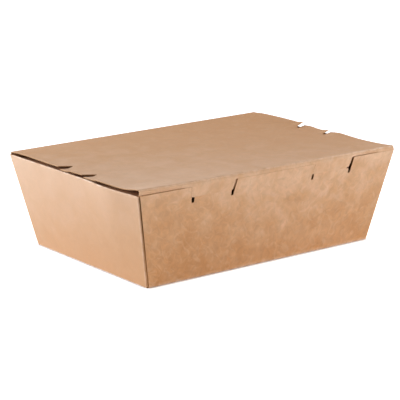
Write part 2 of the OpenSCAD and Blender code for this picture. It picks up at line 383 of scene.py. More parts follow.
class Sheet:
    """Collects grids of points that share their edges, and joins them into one sheet of board."""

    def __init__(self):
        self.points, self.uvs, self.faces = [], [], []
        self.tones = {"wear": [], "mottle": [], "drift": []}
        self.count = 0

    def add(self, points, uv, wear, mottle, keep=True, drift=0.0):
        """A grid of rows by columns. keep says which of its cells are board. The wear tone runs from plain
        board (0) to a stretched fold or a painted highlight (1), mottle is the strength of the clouds,
        and the shading tone runs from painted light (1) to painted shade (-1) and painted shadow in
        the corner grooves (-2)."""
        rows, cols = points.shape[:2]
        index = np.arange(rows * cols).reshape(rows, cols) + self.count
        quads = np.stack([index[:-1, :-1], index[:-1, 1:], index[1:, 1:], index[1:, :-1]], axis=-1)
        self.faces.append(quads[np.broadcast_to(keep, (rows - 1, cols - 1))])
        self.points.append(points.reshape(-1, 3))
        self.uvs.append(np.broadcast_to(uv, (rows, cols, 2)).reshape(-1, 2))
        for label, tone in (("wear", wear), ("mottle", mottle), ("drift", drift)):
            self.tones[label].append(np.broadcast_to(tone, (rows, cols)).ravel())
        self.count += rows * cols

    def build(self, name, board, outward):
        """The mesh with its doubles merged and its faces turned so that the one nearest to the
        point outward faces away from the sheet's middle, then thickened inwards by the board."""
        tones = {label: np.concatenate(values) for label, values in self.tones.items()}
        mesh = new_mesh(name, np.concatenate(self.points), np.concatenate(self.faces).tolist(),
                        np.concatenate(self.uvs), tones)
        bm = bmesh.new()
        bm.from_mesh(mesh)
        bmesh.ops.remove_doubles(bm, verts=bm.verts, dist=MERGE)
        loose = [v for v in bm.verts if not v.link_faces]
        bmesh.ops.delete(bm, geom=loose, context="VERTS")
        bmesh.ops.recalc_face_normals(bm, faces=bm.faces)
        probe, way = (Vector(v) for v in outward)
        nearest = min(bm.faces, key=lambda f: (f.calc_center_median() - probe).length)
        if nearest.normal.dot(way) < 0:
            bmesh.ops.reverse_faces(bm, faces=bm.faces)
        bm.to_mesh(mesh)
        bm.free()
        obj = new_object(name, mesh)
        thick = obj.modifiers.new("board", "SOLIDIFY")
        thick.thickness = board
        thick.offset = -1
        thick.use_even_offset = True
        thick.material_offset_rim = 1
        return obj


def settle(obj):
    """Applies the modifiers and splits the shading at the cut edges."""
    graph = bpy.context.evaluated_depsgraph_get()
    graph.update()
    mesh = bpy.data.meshes.new_from_object(obj.evaluated_get(graph))
    obj.modifiers.clear()
    obj.data = mesh
    shade(mesh)


# Tray


class Shape:
    """The box's own geometry, worked out from the sizes."""

    def __init__(self, scene):
        self.s, self.k, self.l = scene.box_sizes, scene.lock_sizes, scene.lid_sizes
        s = self.s
        self.lean_w = math.atan((s.rim_w - s.base_w) / 2 / s.rim_h)
        self.lean_l = math.atan((s.rim_l - s.base_l) / 2 / s.rim_h)
        self.cos_w, self.sin_w = math.cos(self.lean_w), math.sin(self.lean_w)
        self.slope_w = s.rim_h / self.cos_w
        self.flat_l = s.base_l / 2 - s.fold_r * math.tan((math.pi / 2 - self.lean_l) / 2)
        self.flat_w = s.base_w / 2 - s.fold_r * math.tan((math.pi / 2 - self.lean_w) / 2)
        self.lid_half = s.rim_l / 2 - self.l.inset
        self.half_lock = (self.k.tongue_w + self.k.slot_w) / 2
        self.slots = [(lock, edge) for lock in (-1, 1) for edge in (-1, 1)]

    def half_l(self, z):
        """Half the outer length at a height."""
        return self.s.base_l / 2 + z * math.tan(self.lean_l)

    def half_w(self, z):
        """Half the outer depth at a height."""
        return self.s.base_w / 2 + z * math.tan(self.lean_w)

    def belly(self, y, z):
        """How far a side wall bellies out near the front, where no flap holds it: belly times
        sin^2 over the first stretch behind the front, times the height's share squared."""
        behind = np.clip((y + self.half_w(z)) / self.s.belly_run, 0, 1)
        return self.s.belly * np.sin(math.pi * behind) ** 2 * np.clip(z / self.s.rim_h, 0, 1) ** 2

    def front(self, across, depth, off):
        """Points of the front wall: depth runs down its slope from the rim, off is outwards."""
        y = -self.s.rim_w / 2 + depth * self.sin_w - off * self.cos_w
        z = self.s.rim_h - depth * self.cos_w - off * self.sin_w
        return grid(across, y, z)

    def rate(self, lock, edge):
        """How far a slot leans to the right for each unit of its rise."""
        k = self.k
        return (k.slot_lean if max(lock, edge) > 0 else -k.stand) / k.slot_depth

    def slot(self, lock, edge, depth):
        """Centre line of a lock's left (-1) or right (1) slot at a depth below the rim."""
        k = self.k
        end = k.shift + lock * k.pitch / 2 + edge * self.half_lock - lock * (1 - edge) / 2 * k.inset
        return end + self.rate(lock, edge) * (k.slot_depth - depth)

    def slit(self, x):
        """Depth of the side slits at the side of the lid where x is."""
        return np.where(x < 0, self.k.slit_depth, self.k.slit_right)

    def wall_columns(self):
        """Places across the front wall at the depth of the slots' ends, hitting every slot's edges."""
        k = self.k
        end = self.half_l(self.s.rim_h - k.slot_depth * self.cos_w) - self.s.seam
        stops = [-end, -end + END_RUN]
        for lock, edge in self.slots:
            x = self.slot(lock, edge, k.slot_depth)
            if lock > 0 and edge > 0:
                stops += [x - k.slot_w / 2 - k.nick_w]
            stops += [x - k.slot_w / 2, x + k.slot_w / 2]
        return spans(*stops, end - END_RUN, end, step=2.5 * MM), end


def cut_locks(shape, u, depth, nick, x, off):
    """Cuts the two locks into the front wall's grid. The cells of the four slots and of the nick are left
    out, and each tongue bends in towards the rim by a power of its height above the slots' ends.
    The left lock's first slot also gapes."""
    s, k = shape.s, shape.k
    d, c = np.meshgrid(depth, u, indexing="ij")
    above = np.clip(k.slot_depth - d, 0, None)
    hidden = k.slot_depth - k.catch_drop
    bend = above ** TONGUE_BEND * (s.board + TONGUE_PLAY) / hidden ** TONGUE_BEND
    keep = np.ones((len(depth) - 1, len(u) - 1), bool)
    slotted = middles(depth) < k.slot_depth
    for lock in (-1, 1):
        left = shape.slot(lock, -1, k.slot_depth) + k.slot_w / 2
        right = shape.slot(lock, 1, k.slot_depth) - k.slot_w / 2
        on_tongue = between(c, left, right)
        off = np.where(on_tongue & (d < k.slot_depth), off - bend, off)
        if lock < 0:
            share = (right - c) / (right - left)
            x = np.where(on_tongue, x + k.gape * share * np.clip(above / hidden, 0, 1), x)
        for start in (left - k.slot_w, right):
            keep[np.ix_(slotted, between(middles(u), start, start + k.slot_w))] = False
    caught = between(middles(u), right - k.nick_w, right)
    keep[np.ix_(np.isclose(depth[:-1], nick), caught)] = False
    return x, off, keep


def front_wall(sheet, shape, back=False):
    """The front wall as a grid of depth by width, its lower rows rolled round the base's fold.
    Above the slots' ends the columns lean with the slots. The back wall is the same grid without
    slots, turned half round and carried up to the crease."""
    s, k = shape.s, shape.k
    u, end = shape.wall_columns()
    top = 0.0
    if back:
        u = -u[::-1]
        top = -(HINGE[2] - s.rim_h) / shape.cos_w + shape.l.crease_half
    arc = round_corner((-s.base_w / 2, 0), (-shape.sin_w, shape.cos_w), (1, 0),
                       s.fold_r, ARC_STEPS)
    low = shape.slope_w - np.hypot(arc[0, 0] + s.base_w / 2, arc[0, 1])
    nick = k.catch_drop - NICK_LIFT
    depth = spans(top, max(top, 0) + EDGE_BAND, nick, nick + k.nick_h, k.slot_depth, 14 * MM, low,
                  step=1.6 * MM)
    d, c = np.meshgrid(depth, u, indexing="ij")
    level = s.rim_h - k.slot_depth * shape.cos_w
    wide = (shape.half_l(s.rim_h - d * shape.cos_w) - s.seam) / (shape.half_l(level) - s.seam)
    outer = shape.slot(1, 1, k.slot_depth) + k.slot_w
    ends = smooth((np.abs(c) - outer) / (end - outer))
    plain = c * wide
    off = s.bow * np.clip(1 - (c / end) ** 2, 0, 1)
    off = off * np.sin(math.pi * np.clip(d / shape.slope_w, 0, 1)) ** 1.2
    if back:
        x = np.where(d >= k.slot_depth, plain, c + (plain - c) * ends)
        tighten = 0
        keep = True
    else:
        rates = np.interp(c, [shape.slot(*at, k.slot_depth) for at in shape.slots],
                          [shape.rate(*at) for at in shape.slots])
        lean = rates * np.clip(k.slot_depth - d, 0, None) * (1 - ends)
        tighten = smooth(1 - (end - u) / END_RUN) * (s.seam - s.close)
        x = np.where(d >= k.slot_depth, plain, c + (plain - c) * ends + lean) + tighten
        x, off, keep = cut_locks(shape, u, depth, nick, x, off)
        keep = np.concatenate([keep, np.ones((len(arc) - 1, len(u) - 1), bool)])
    foot_x = u * (s.base_l / 2 - s.seam) / (shape.half_l(level) - s.seam) + tighten
    foot = grid(foot_x[None, :], arc[:, :1], arc[:, 1:])
    points = np.concatenate([shape.front(x, d, off), foot[1:]])
    wear = np.zeros(points.shape[:2])
    wear[len(depth) - 1] = 0.5
    wear[len(depth):] = 1.0
    rows = np.concatenate([depth, low + np.arange(1, len(arc)) * s.fold_r * ARC_ROW])
    uv = np.stack(np.meshgrid(u, -rows, indexing="xy"), axis=-1)
    if back:
        points = points * (-1, -1, 1)
        near = smooth(1 - (HINGE[2] - points[..., 2]) / (12 * MM))
        points[..., 2] += crease_skew(points[..., 0] / (s.rim_l / 2)) * near
        uv = uv + FLAT_PLACE["back"]
    # Painted shading, standing in for how the lamps light the wall: darker towards the base and lighter
    # towards the right. The wave adds broad paler and deeper stretches along it
    rise = points[..., 2] / s.rim_h
    wave = np.cos(2 * math.pi * (points[..., 0] + WAVE_SHIFT) / WAVE_LENGTH)
    wave = wave * np.sin(math.pi * np.clip(rise, 0, 1))
    drift = rise - 0.55 + 0.2 * points[..., 0] / (s.rim_l / 2) - 0.2 * wave
    sheet.add(points, uv, wear, MOTTLE["wall"], keep, drift)
    return points[-1, :, 0]


class SideWall:
    """A side wall with the corner folds and tabs at its two ends. The rim's arc turns in to the dust flap
    and the foot's arc rolls into the base. f runs along the wall's depth from -1 to 1, and tab along a
    tab from 0 to 1, with close steps where it drops into the groove."""

    def __init__(self, sheet, shape, side):
        s = shape.s
        self.sheet, self.shape, self.s, self.side = sheet, shape, s, side
        crest = s.rim_h + s.fold_rise
        start = s.dust_sag + s.dust_dip
        across, up = math.sin(shape.lean_l), math.cos(shape.lean_l)
        self.rim = round_corner((shape.half_l(crest), crest), (-across, -up),
                                (-math.cos(start), -math.sin(start)), s.rim_fold, ARC_STEPS)
        self.foot = round_corner((s.base_l / 2, 0), (across, up), (-1, 0), s.fold_r, ARC_STEPS)
        self.flat_top = shape.half_w(self.rim[0, 1]) - CORNER_SET - s.corner_r
        self.dust = (s.rim_w / 2 - s.dust_gap) / self.flat_top
        self.f = spans(-1.0, -self.dust, self.dust, 1.0, step=0.03)
        self.tab = np.concatenate([[0, 0.008, 0.017, 0.028], spans(0.06, 1.0, step=0.13)])
        self.turn = np.linspace(0, math.pi / 2, ARC_STEPS + 1)
        self.tab_top = s.rim_h - s.tab_drop
        self.z = spans(self.foot[0, 1], s.tab_foot, 10 * MM, 30 * MM, self.tab_top, self.rim[0, 1],
                       step=3 * MM)

    def build(self):
        """Adds the whole wall to the sheet, and gives the places where it meets the base."""
        self.wall()
        self.flap()
        return self.base_fold()

    def add(self, points, uv, wear, part, keep=True, drift=0.0):
        """Adds a grid, mirrored for the left wall and at the wall's own place in the flat map."""
        across, along = FLAT_PLACE["side"]
        self.sheet.add(points * np.array((self.side, 1, 1)), uv + (across * self.side, along), wear,
                       MOTTLE[part], keep, drift)

    def row(self, level):
        """The path at one height: along the front tab, round the corner, down the wall's depth, round
        and along the back tab."""
        shape, s, f = self.shape, self.s, self.f
        r, tab = s.corner_r, self.tab[::-1]
        half_x = shape.half_l(level)
        half_y = shape.half_w(level) - CORNER_SET
        share = np.clip((level - s.tab_foot) / (self.tab_top - s.tab_foot), 0, 1)
        tab_z = level - s.tab_slope * tab * share
        tab_x = shape.half_l(tab_z) - r - tab * (s.tab_reach - r)
        groove = s.groove_foot + (s.groove - s.groove_foot) * level / s.rim_h
        depth = CORNER_SET + (groove - CORNER_SET) * smooth(tab * (s.tab_reach - r) / GROOVE_RUN)
        tab_y = depth - shape.half_w(tab_z)
        arc_x = (half_x - r + r * np.sin(self.turn))[1:-1]
        arc_y = (-half_y + r - r * np.cos(self.turn))[1:-1]
        end = np.stack([np.concatenate([tab_x, arc_x]), np.concatenate([tab_y, arc_y]),
                        np.concatenate([tab_z, np.full(len(arc_x), level)])], axis=-1)
        bulge = s.bow * (1 - f ** 2) * math.sin(math.pi * level / s.rim_h)
        wall_y = f * (half_y - r)
        wall_x = half_x + bulge + shape.belly(wall_y, level)
        wall = np.stack([wall_x, wall_y, np.full(len(f), level)], axis=-1)
        return np.concatenate([end, wall, end[::-1] * (1, -1, 1)])

    def wall(self):
        """The rows of all heights, without the cells above the tabs' tops and below their feet."""
        s, z, tab = self.s, self.z, self.tab
        points = np.array([self.row(level) for level in z])
        tabs, arc = len(tab), len(self.turn) - 2
        first = tabs + arc
        last = first + len(self.f) - 1
        end_wear = np.concatenate([np.zeros(tabs), np.full(arc, 0.25)])
        wall_wear = np.zeros(len(self.f))
        wall_wear[[0, -1]] = 0.5
        wear = np.concatenate([end_wear, wall_wear, end_wear[::-1]])
        columns = np.arange(points.shape[1] - 1)
        on_tab = (columns < tabs - 1) | (columns > last + arc)
        off_wall = (columns < first) | (columns >= last)
        keep = np.ones((len(z) - 1, len(columns)), bool)
        keep[np.ix_(middles(z) > self.tab_top, on_tab)] = False
        keep[np.ix_(middles(z) < s.tab_foot, off_wall)] = False
        path = run_along(points[len(z) // 2])
        uv = np.stack(np.meshgrid(z, path, indexing="ij"), axis=-1)
        # Painted shading, standing in for how the lamps light the side wall: lighter towards the rim and
        # towards the back
        drift = 0.7 * (points[..., 2] / s.rim_h - 0.3) + 0.18 * points[..., 1] / (s.rim_w / 2)
        # Painted shadow in the corner grooves: each tab's strip beside the groove is painted dark, darkest
        # near the rim, and the rest of the tab a shade deeper
        groove_shadow = np.where(tab < 0.1, -1 - smooth((z[:, None] / s.rim_h - 0.4) / 0.5), -0.2)
        drift[:, :tabs] = groove_shadow[:, ::-1]
        drift[:, last + arc + 1:] = groove_shadow
        self.add(points, uv, wear, "side", keep, drift)
        self.uv_middle = path[-1] / 2
        above = slice(tabs - 1, last + arc + 1)
        self.crown(points[-1, above], uv[-1, above], wear[above])

    def crown(self, line, uv, wear):
        """The low strips at the corners, beside the dust flap, that carry the wall on to the rim."""
        more = self.s.rim_h - CROWN_PLAY - self.rim[0, 1]
        upper = line + np.array((math.tan(self.shape.lean_l), 0, 1)) * more
        beside = np.abs(line[:, 1]) > self.dust * self.flat_top + SAME
        self.add(np.stack([line, upper]), uv, wear, "fold", beside[1:] | beside[:-1], 0.5)

    def flap(self):
        """The rim's fold and the dust flap. It leaves the fold steeply, levels out over the dip's run and
        narrows by its slanted ends. The fold follows the wall's belly, and the flap's far edge is
        straight."""
        shape, s, rim = self.shape, self.s, self.rim
        y0 = self.f[np.abs(self.f) <= self.dust + SAME] * self.flat_top
        reach = spans(0.0, s.dip_run, s.dust_reach - s.rim_fold, step=1.5 * MM)
        angle = s.dust_sag + s.dust_dip * (1 - smooth(middles(reach) / s.dip_run))
        step = np.diff(reach)[:, None] * np.stack([-np.cos(angle), -np.sin(angle)], axis=-1)
        section = np.concatenate([rim, rim[-1] + np.cumsum(step, axis=0)])
        reach = reach[1:]
        flat = np.concatenate([np.zeros(len(rim)), reach])
        narrowing = flat * math.tan(s.dust_slant) / (s.rim_w / 2 - s.dust_gap)
        y = y0[None, :] * (1 - narrowing[:, None])
        held = np.concatenate([np.ones(len(rim)), 1 - reach / reach[-1]])[:, None]
        out = held * shape.belly(y0, rim[0, 1])[None, :]
        points = grid(section[:, :1] + out, y, section[:, 1:])
        wear = np.concatenate([np.ones(len(rim)), np.zeros(len(reach))])[:, None]
        arc_run = np.linspace(0, 1, len(rim)) * s.rim_fold * ARC_RUN
        run = np.concatenate([arc_run, s.rim_fold * ARC_RUN + reach])[:, None]
        uv = grid(run + self.z[-1], y + self.uv_middle)
        self.add(points, uv, wear, "fold")

    def base_fold(self):
        """The fold into the base. Its ends draw in to the base's flat part as they reach it."""
        s, foot = self.s, self.foot
        y = self.f * (self.shape.half_w(foot[0, 1]) - CORNER_SET - s.corner_r)
        limit = self.shape.flat_w - FLAT_PLAY
        flat_y = np.clip(y, -limit, limit)
        y = y + np.linspace(0, 1, len(foot))[:, None] * (flat_y - y)
        points = grid(foot[:, :1], y, foot[:, 1:])
        down = self.z[0] - np.arange(len(foot))[:, None] * s.fold_r * ARC_ROW
        uv = grid(down, y + self.uv_middle)
        self.add(points, uv, 1.0, "fold")
        return flat_y


def make_tray(scene):
    """The tray: base, walls, tabs and dust flaps joined along their folds, thickened inwards."""
    shape = Shape(scene)
    sheet = Sheet()
    x = front_wall(sheet, shape)
    front_wall(sheet, shape, back=True)
    for side in (-1, 1):
        y = SideWall(sheet, shape, side).build()
    x = np.concatenate([[-shape.flat_l], x, [shape.flat_l]])
    y = np.concatenate([[-shape.flat_w], y, [shape.flat_w]])
    flat_y, flat_x = np.meshgrid(y, x, indexing="ij")
    points = np.stack([flat_x, flat_y, np.zeros_like(flat_x)], axis=-1)
    sheet.add(points, points[..., :2] + FLAT_PLACE["base"], 0.0, MOTTLE["base"])
    return sheet.build("tray_board", shape.s.board, ((0, 0, 0), (0, 0, -1)))


# Lid


def crease_skew(share):
    """How far the crease lies above its hinge line: its left end is pressed down, its right end rides up."""
    return (0.25 + 0.55 * share) * MM


def lid_heights(shape, x, v, slack, back):
    """Height of the lid's top face above the rim. v is the distance behind the front fold and slack
    the distance in from the nearer side edge. The middle follows one curve from the crease to the
    fold and tilts from left to right. The side edges follow curves of their own, which fade inwards
    as exp(-(slack / 18 mm)^2) at the left and over 13 mm at the right. Each slit lets the corner in
    front of it dip towards the rim, and lifts the one behind it by 0.1 mm."""
    k, l = shape.k, shape.l
    share = x / (shape.s.rim_l / 2)
    far = v / MM
    centre = (l.rise_left + l.rise_right) / 2 + through(MIDDLE_LINE, far) * MM
    centre = centre - through(TILT, far) * MM * share
    edge = np.where(x < 0, through(LEFT_EDGE, far), through(RIGHT_EDGE, far))
    fade = np.exp(-(slack / (np.where(x < 0, 18, 13) * MM)) ** 2)
    height = centre * (1 - fade) + edge * MM * fade
    give = np.clip(np.where(x < 0, 1, 1.15) - slack / shape.slit(x), 0, 1) ** 0.25
    for mouth, dip_left, dip_right in ((k.slit_back, 1.6, 1.6), (k.slit_front, 1.2, 1.1)):
        tip = mouth - k.slit_lean
        ahead = np.where(v < tip, tip - v, np.inf) / MM
        dip = np.where(x < 0, dip_left * (1 - smooth((ahead - 5) / 9)),
                       dip_right * np.clip(1 - (ahead - 1.3) / 9, 0, 1) ** 1.5)
        behind = np.where(v > tip, v - tip, np.inf) / MM
        height = height + MM * give * (0.1 * np.clip(1 - behind / 12, 0, 1) ** 2 - dip)
    height = np.maximum(height, LEAST_HEIGHT)
    settled = smooth((v - back + SETTLE_RUN) / SETTLE_RUN)
    return height * (1 - settled) + (l.crease_rise + CREASE_LIFT + crease_skew(share)) * settled


def flap_gap(shape, x):
    """How far the wall stands off the flap: 1 beside the locks, 0 at them."""
    half = shape.s.rim_l / 2
    left, right = shape.slot(-1, -1, 0), shape.slot(1, 1, 0)
    at = [(-half, 0.6), (left - 22 * MM, 0.8), (left - 10 * MM, 0.3), (left - 5 * MM, 0), (left, 0),
          (0, 0), (right - 2 * MM, 0), (right, 0.4), (right + 12 * MM, 0.8), (half, -0.2)]
    return np.clip(through(at, x), -0.2, 1)


def flap_bulge(shape, x):
    """1 where the lid's fold bulges out over the wall's top edge and hides it: from just left of
    the left lock to the right lock's last slot, and near the right corner."""
    left, right = shape.slot(-1, -1, 0), shape.slot(1, 1, 0)
    return smooth((x - left + 9 * MM) / (5 * MM)) * (x < right) + smooth((x - right - 15 * MM) / (8 * MM))


class Lid:
    """The lid: a panel whose rows lean with the side slits, the front fold as an arc, and the flap
    behind the wall, with the two lock tabs led out over the rim into the wall's notches."""

    def __init__(self, sheet, shape):
        s, k = shape.s, shape.k
        self.sheet, self.shape = sheet, shape
        self.tuck_off = -(s.board + shape.l.tuck_play)
        self.front_y = -s.rim_w / 2 - self.tuck_off * shape.cos_w
        self.tabs, self.windows = [], []
        half = shape.lid_half
        stops = [-half, -half + 2 * MM, -half + k.slit_depth]
        for lock, cover, window in ((-1, k.cover, LEFT_WINDOW), (1, RIGHT_COVER, RIGHT_WINDOW)):
            left = shape.slot(lock, -1, 0) - k.slot_w / 2 + TAB_PLAY
            right = shape.slot(lock, 1, 0) - k.slot_w / 2 + cover
            start, stop = shape.slot(lock, -1, k.catch_drop) - k.slot_w, right + window
            self.tabs.append((left, right))
            self.windows.append((start, stop))
            stops += [start, left, right - k.tab_round, right - k.tab_round / 3, right, stop]
        self.u = spans(*stops, half - k.slit_right, half - 2 * MM, half, step=2.2 * MM)

    def build(self):
        """Adds the panel and the front to the sheet."""
        self.panel()
        self.front()

    def panel(self):
        """The panel, from its crease to its front fold. Its rows follow the slits: straight along the
        fold and the crease, and leaning between them over the slits' reach."""
        shape, u = self.shape, self.u
        s, k, l = shape.s, shape.k, shape.l
        half = shape.lid_half
        tips = [mouth - k.slit_lean + edge * k.slit_tip / 2 for mouth in (k.slit_front, k.slit_back)
                for edge in (-1, 1)]
        back = HINGE[1] - l.crease_half - self.front_y
        v = spans(LID_FOLD + 0.4 * MM, 3 * MM, 20 * MM, *tips, 110 * MM, back, step=2 * MM)
        vv, uu = np.meshgrid(v, u, indexing="ij")
        edge = half - np.abs(uu)
        reach = np.clip(1 - edge / shape.slit(uu), 0, 1)
        low, high = SLIT_ZONE
        zone = smooth((vv - low) / (tips[0] - low)) * smooth((high - vv) / (high - tips[3]))
        right_shift = k.lean_right * reach + k.tip_right * smooth(1.2 * uu / half)
        place = vv + np.where(uu < 0, k.slit_lean * reach, right_shift) * zone
        widen = (k.slit_mouth - k.slit_tip) / 2
        in_slit = np.zeros(len(v) - 1, bool)
        for start, stop in (tips[:2], tips[2:]):
            place = place - widen * reach * np.isclose(vv, start)
            place = place + widen * reach * np.isclose(vv, stop)
            in_slit |= between(middles(v), start, stop)
        outside = middles(half - np.abs(u)) < shape.slit(u[1:])
        keep = np.ones((len(v) - 1, len(u) - 1), bool)
        keep[np.ix_(in_slit, outside)] = False
        height = lid_heights(shape, uu, vv, edge, v[-1])
        wider = l.reach_right * smooth((uu / half - 0.5) / 0.5) * smooth(1 - vv / REACH_RUN)
        points = np.stack([uu + wider, self.front_y + place, s.rim_h + height], axis=-1)
        wear = 0.25 * smooth(1 - edge / EDGE_BAND)
        uv = np.stack([uu, place], axis=-1) + FLAT_PLACE["lid"]
        # Painted shading, standing in for how the lamps light the panel: lighter towards the front fold and
        # towards the left
        drift = 0.35 - 0.7 * place / s.rim_w - 0.3 * uu / half
        self.sheet.add(points[::-1], uv[::-1], wear[::-1], MOTTLE["panel"], keep[::-1], drift[::-1])
        self.first, self.first_wear, self.first_v = points[0], wear[0], v[0]
        self.slope = (height[1] - height[0]) / (place[1] - place[0])

    def columns(self):
        """For each column of the lid: is it on a lock tab, how far the tab leans for each unit of its
        drop, and how far its rounded lower right corner lifts its end."""
        shape, u = self.shape, self.u
        radius = shape.k.tab_round
        on_tab = np.zeros(len(u), bool)
        lean, lift = np.zeros(len(u)), np.zeros(len(u))
        for lock, (left, right) in zip((-1, 1), self.tabs):
            here = between(u, left, right)
            on_tab |= here
            across = np.clip((u - left) / (right - left), 0, 1)
            lean += np.where(here, shape.rate(lock, -1) * (1 - across) + shape.rate(lock, 1) * across, 0)
            along = np.clip((u - right) / radius + 1, 0, 1) * (u < right + SAME) * (0.3 if lock < 0 else 1)
            lift += radius * (1 - np.sqrt(1 - along ** 2))
        return on_tab, lean, lift

    def front(self):
        """The front fold, and below it the flap behind the wall and the lock tabs before it, with a
        window cut beside each tab."""
        shape, u, tuck_off = self.shape, self.u, self.tuck_off
        s, k, l = shape.s, shape.k, shape.l
        half = shape.lid_half
        arc = round_corner((0, 0), (1, 0), (0, -1), LID_FOLD, ARC_STEPS)
        rows = [self.first]
        for ay, az in arc:
            top = self.first[:, 2] - self.slope * (self.first_v - ay) * FOLD_SLOPE
            rows.append(np.stack([self.first[:, 0], np.full(len(u), self.front_y + ay), top + az], axis=-1))
        top_depth = (s.rim_h - rows[-1][:, 2]) / shape.cos_w
        on_tab, lean, lift = self.columns()
        beside, bulge = flap_gap(shape, u), flap_bulge(shape, u)
        levels = []
        for t in np.linspace(0, 1, BRINK_ROWS + 1)[1:]:
            depth = top_depth + (BRINK - top_depth) * t
            sunk = tuck_off + (BULGE_OFF - tuck_off) * smooth(t) * bulge
            levels.append((depth, tuck_off + (TAB_STAND - tuck_off) * smooth(t), sunk))
        for t in (0.06, 0.16, 0.3, 0.5, 0.75, 1):
            depth = BRINK + (k.catch_drop - lift - BRINK) * t
            sunk = tuck_off - l.gap * beside * smooth((depth - top_depth) / SINK_RUN)
            levels.append((depth, TAB_STAND, sunk))
        for depth, out, sunk in levels:
            x = self.first[:, 0] - lean * np.clip(depth, 0, None)
            rows.append(shape.front(x, depth, np.where(on_tab, out, sunk)))
        points = np.array(rows)
        # Painted highlight: the front fold's pale tint stands for its stretched fibres and for painted light
        # on it, and grows towards the right end; the flap is painted paler towards the right too, and the
        # lock tabs carry a little wear
        fold_wear_and_highlight = 0.55 + 0.6 * smooth((u / half - 0.2) / 0.5)
        flap_wear_and_highlight = np.where(on_tab, 0.1, 0.0) + 0.35 * smooth((u / half - 0.2) / 0.6)
        wear = np.array([self.first_wear] + [fold_wear_and_highlight] * len(arc) + [flap_wear_and_highlight] * len(levels))
        keep = np.ones((len(rows) - 1, len(u) - 1), bool)
        parted = np.arange(len(rows) - 1) >= len(arc) + BRINK_ROWS
        for (left, right), (start, stop) in zip(self.tabs, self.windows):
            open_cells = between(middles(u), start, left) | between(middles(u), right, stop)
            keep[np.ix_(parted, open_cells)] = False
        run = run_along(points[:, len(u) // 2])
        uv = np.stack(np.meshgrid(u, self.first_v - run, indexing="xy"), axis=-1)
        below = points[..., 2] < s.rim_h
        trim = np.clip(below * (np.abs(u)[None, :] - half + l.tuck_slant) / l.tuck_slant, 0, 1)
        shift = np.clip((s.rim_h - points[..., 2]) / (k.catch_drop * shape.cos_w), 0, 1)
        points[..., 0] -= np.sign(points[..., 0]) * trim * shift * l.tuck_slant
        self.sheet.add(points, uv + FLAT_PLACE["lid"], wear, MOTTLE["flap"], keep, 0.35)


def make_lid(scene):
    """The lid's sheet, thickened downwards."""
    shape = Shape(scene)
    sheet = Sheet()
    Lid(sheet, shape).build()
    return sheet.build("lid_board", shape.s.board, ((0, 0, shape.s.rim_h + 2 * MM), (0, 0, 1)))


def make_crease(scene):
    """The strip between the back wall and the lid. Its section is closed: an outer curve from the
    wall's outer face over the hinge line to the lid's top face, and an inner one a board's
    thickness below it. It also gives two points out from the hinge line, one along the wall and
    one along the lid."""
    shape = Shape(scene)
    half = shape.lid_half
    hinge = HINGE[1:]
    wall = np.array((-shape.sin_w, -shape.cos_w))
    wall_out = np.array((shape.cos_w, -shape.sin_w))
    lid = np.array((-1.0, CREASE_SLOPE))
    lid = lid / np.linalg.norm(lid)
    lid_out = np.array((lid[1], -lid[0]))
    wall_end, lid_end = hinge + wall * shape.l.crease_half, hinge + lid * shape.l.crease_half
    thick = shape.s.board / 2
    corner = (wall_out + lid_out) * thick / (1 + wall_out @ lid_out)
    bend = round_corner(hinge + corner, wall, lid, CREASE_FOLD, ARC_STEPS)
    ring = np.concatenate([[wall_end + wall_out * thick], bend, [lid_end + lid_out * thick],
                           [lid_end - lid_out * thick, hinge - corner, wall_end - wall_out * thick]])
    x = spans(-half, half, step=10 * MM)
    count = len(ring)
    skew = crease_skew(x / (shape.s.rim_l / 2))
    points = grid(x[:, None], ring[None, :, 0], ring[None, :, 1] + skew[:, None])
    index = np.arange(len(x) * count).reshape(len(x), count)
    turn = np.roll(index, -1, axis=1)
    sides = np.stack([index[:-1], turn[:-1], turn[1:], index[1:]], axis=-1).reshape(-1, 4)
    faces = sides.tolist() + [index[0].tolist(), index[-1][::-1].tolist()]
    uv = (grid(x[:, None], run_along(ring)[None, :]) + FLAT_PLACE["crease"]).reshape(-1, 2)
    wear = np.zeros((len(x), count))
    wear[:, 1:len(bend) + 1] = 0.8
    # The crease strip is painted a shade deeper, as painted shade
    tones = {"wear": wear.ravel(), "mottle": np.full(wear.size, MOTTLE["crease"]),
             "drift": np.full(wear.size, -0.3)}
    mesh = new_mesh("crease_board", points.reshape(-1, 3), faces, uv, tones)
    bm = bmesh.new()
    bm.from_mesh(mesh)
    bmesh.ops.recalc_face_normals(bm, faces=bm.faces)
    bm.to_mesh(mesh)
    bm.free()
    shade(mesh)
    reach = shape.l.crease_half * BEND_SHARE
    start, end = (tuple(np.concatenate([[0], hinge + way * reach])) for way in (wall, lid))
    return new_object("crease_board", mesh), start, end


# Board


def node(tree, kind, **given):
    """Adds a node with its settings and links. A name in small letters is a setting, in and a number is
    an input's place, and any other name is an input's own, with _ for a space. What an input gets is
    a node, whose first output is meant, a socket or a plain value."""
    made = tree.nodes.new("ShaderNode" + kind)
    for key, value in given.items():
        if key[:2] == "in" and key[2:].isdigit():
            socket = made.inputs[int(key[2:])]
        elif key.islower():
            setattr(made, key, value)
            continue
        else:
            socket = made.inputs[key.replace("_", " ")]
        if isinstance(value, bpy.types.Node):
            value = value.outputs[0]
        if isinstance(value, bpy.types.NodeSocket):
            tree.links.new(value, socket)
        else:
            socket.default_value = value
    return made


